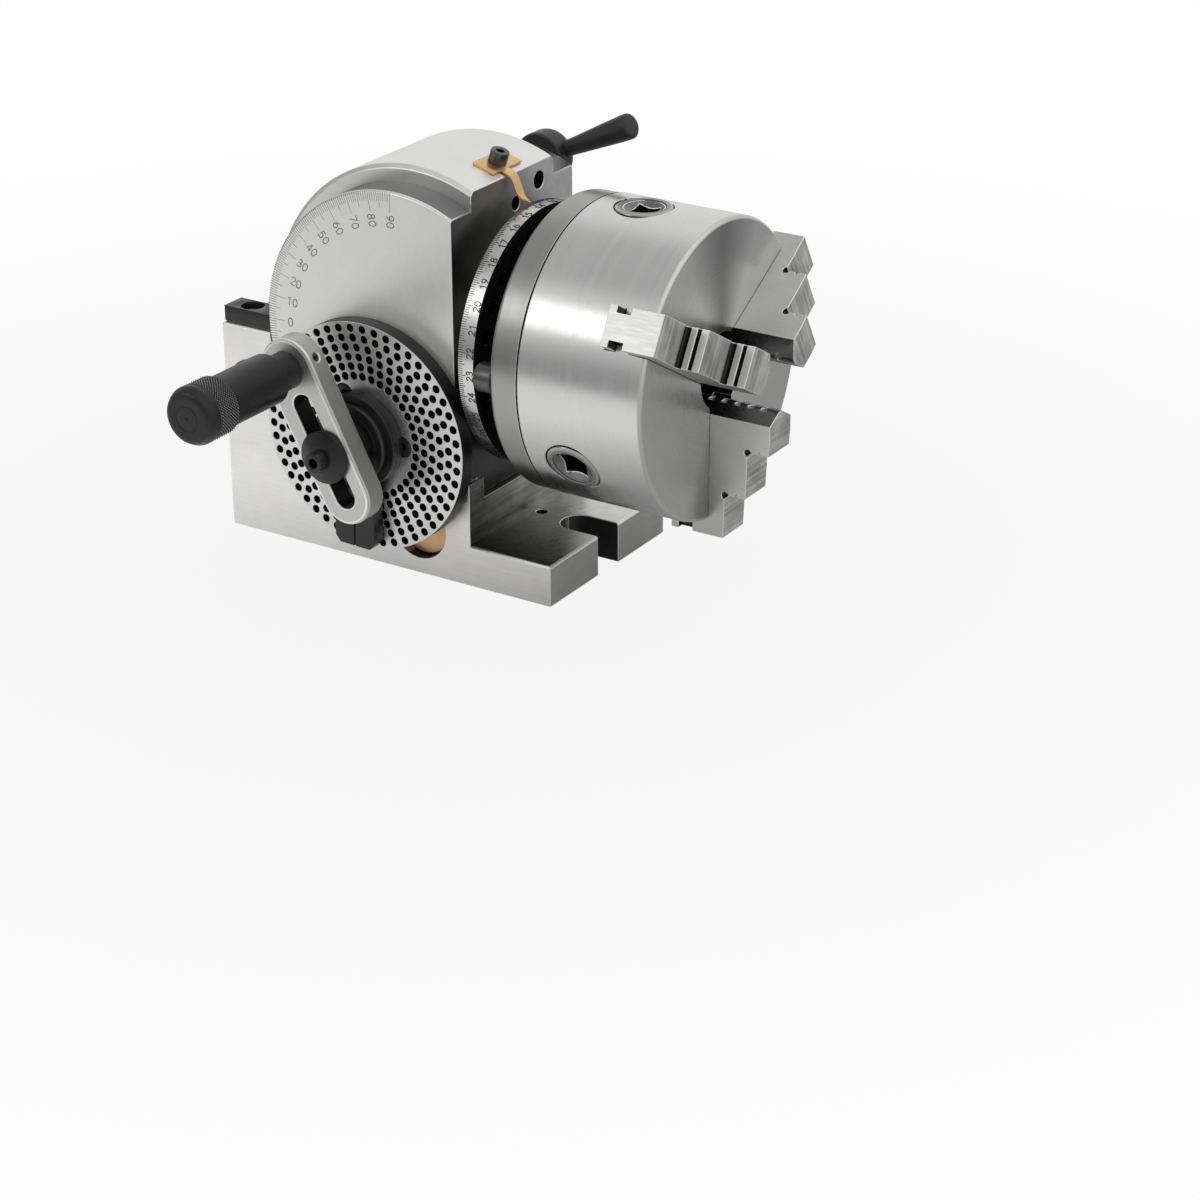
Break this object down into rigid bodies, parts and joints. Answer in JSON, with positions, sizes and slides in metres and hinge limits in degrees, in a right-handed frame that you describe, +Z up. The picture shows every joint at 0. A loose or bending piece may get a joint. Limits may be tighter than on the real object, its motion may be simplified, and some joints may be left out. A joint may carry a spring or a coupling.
{
  "type": "dividing head",
  "caption": "Tilting dividing head with a crank, drilled index plate, sector arms, spring plunger and stepped-jaw chuck on a slotted base.",
  "frame": {"origin": "on the base's bottom face, straight below the crossing of the tilt axis and the spindle axis", "axes": "+X along the spindle towards the chuck, +Z up, tilt axis along Y, crank side at -Y"},
  "size_m": [0.2464, 0.2086, 0.1808],
  "materials": {
    "ground_iron": "ground, satin",
    "bronze": "satin",
    "black_oxide": "satin black",
    "plate_steel": "satin",
    "brass": "satin",
    "steel": "turned",
    "satin_arm": "satin",
    "dial_steel": "satin",
    "chuck_steel": "turned",
    "pinion_steel": "turned",
    "jaw_steel": "ground",
    "lever_black": "matte"
  },
  "bodies": {
    "base": {"base_casting": "ground_iron", "clamp_pads": "bronze", "clamp_blocks": "black_oxide", "clamp_screws": "black_oxide", "tilt_lock_screws": "black_oxide"},
    "tilting_body": {"swivel_casting": "ground_iron", "front_bush": "bronze", "rear_bush": "bronze", "worm_bush": "black_oxide", "index_plate": "plate_steel", "index_plate_screws": "black_oxide", "sector_cap": "black_oxide", "pointer": "brass", "pointer_screw": "black_oxide", "lock_stud": "steel"},
    "rear_arm": {"sector_arm_rear": "black_oxide"},
    "front_arm": {"sector_arm_front": "black_oxide"},
    "worm": {"worm_shaft": "steel", "crank_washer": "black_oxide", "crank_screw": "black_oxide"},
    "crank": {"crank_arm": "satin_arm", "crank_set_screw": "black_oxide", "plunger_guide": "black_oxide"},
    "plunger": {"index_pin": "steel", "plunger_handle": "black_oxide"},
    "spindle_group": {"spindle": "steel", "spindle_nut": "black_oxide", "worm_wheel": "bronze", "dial_ring": "dial_steel", "chuck_backplate": "steel", "backplate_screws": "black_oxide", "chuck_body": "chuck_steel"},
    "scroll": {"scroll_ring": "steel"},
    "lock_lever": {"lock_lever_hub": "lever_black", "lock_lever_handle": "lever_black"},
    "key_pinion_1": {"pinion_1": "pinion_steel"},
    "sliding_jaw_1": {"jaw_1": "jaw_steel"},
    "key_pinion_2": {"pinion_2": "pinion_steel"},
    "sliding_jaw_2": {"jaw_2": "jaw_steel"},
    "key_pinion_3": {"pinion_3": "pinion_steel"},
    "sliding_jaw_3": {"jaw_3": "jaw_steel"}
  },
  "joints": [
    {"name": "tilt", "type": "hinge", "parent": "base", "child": "tilting_body", "pos_m": [0, 0, 0.1], "axis": [0, -1, 0], "range_deg": [-10, 90]},
    {"name": "spindle_turn", "type": "hinge", "parent": "tilting_body", "child": "spindle_group", "pos_m": [0, 0, 0.1], "axis": [1, 0, 0], "continuous": true},
    {"name": "crank_turn", "type": "hinge", "parent": "tilting_body", "child": "worm", "pos_m": [-0.0096, 0, 0.0614], "axis": [0, -1, 0], "continuous": true},
    {"name": "crank_reach", "type": "slide", "parent": "worm", "child": "crank", "axis": [-0.4695, 0, 0.8829], "range_m": [-0.0123, 0.0082]},
    {"name": "plunger_in", "type": "slide", "parent": "crank", "child": "plunger", "axis": [0, 1, 0], "range_m": [0, 0.011]},
    {"name": "rear_arm_turn", "type": "hinge", "parent": "tilting_body", "child": "rear_arm", "pos_m": [-0.0096, 0, 0.0614], "axis": [0, -1, 0], "continuous": true},
    {"name": "front_arm_open", "type": "hinge", "parent": "rear_arm", "child": "front_arm", "pos_m": [-0.0096, 0, 0.0614], "axis": [0, -1, 0], "range_deg": [0, 150]},
    {"name": "scroll_turn", "type": "hinge", "parent": "spindle_group", "child": "scroll", "pos_m": [0, 0, 0.1], "axis": [1, 0, 0], "range_deg": [-600, 720]},
    {"name": "lock_lever_turn", "type": "hinge", "parent": "tilting_body", "child": "lock_lever", "pos_m": [0.012, 0, 0.157], "axis": [0, -1, 0], "range_deg": [-8, 80]},
    {"name": "jaw_1_slide", "type": "slide", "parent": "spindle_group", "child": "sliding_jaw_1", "axis": [0, 0.866, 0.5], "range_m": [-0.01, 0.012]},
    {"name": "pinion_1_turn", "type": "hinge", "parent": "spindle_group", "child": "key_pinion_1", "pos_m": [0.092, 0, 0.1], "axis": [0, 0, 1], "range_deg": [-2400, 2000]},
    {"name": "jaw_2_slide", "type": "slide", "parent": "spindle_group", "child": "sliding_jaw_2", "axis": [0, -0.866, 0.5], "range_m": [-0.01, 0.012]},
    {"name": "pinion_2_turn", "type": "hinge", "parent": "spindle_group", "child": "key_pinion_2", "pos_m": [0.092, 0, 0.1], "axis": [0, -0.866, -0.5], "range_deg": [-2400, 2000]},
    {"name": "jaw_3_slide", "type": "slide", "parent": "spindle_group", "child": "sliding_jaw_3", "axis": [0, 0, -1], "range_m": [-0.01, 0.012]},
    {"name": "pinion_3_turn", "type": "hinge", "parent": "spindle_group", "child": "key_pinion_3", "pos_m": [0.092, 0, 0.1], "axis": [0, 0.866, -0.5], "range_deg": [-2400, 2000]}
  ],
  "couplings": [
    {"joint": "crank_turn", "follows": "spindle_turn", "ratio": -40},
    {"joint": "jaw_1_slide", "follows": "scroll_turn", "m_per_rad": 0.00095493},
    {"joint": "pinion_1_turn", "follows": "scroll_turn", "ratio": -3.3333},
    {"joint": "jaw_2_slide", "follows": "scroll_turn", "m_per_rad": 0.00095493},
    {"joint": "pinion_2_turn", "follows": "scroll_turn", "ratio": -3.3333},
    {"joint": "jaw_3_slide", "follows": "scroll_turn", "m_per_rad": 0.00095493},
    {"joint": "pinion_3_turn", "follows": "scroll_turn", "ratio": -3.3333}
  ]
}
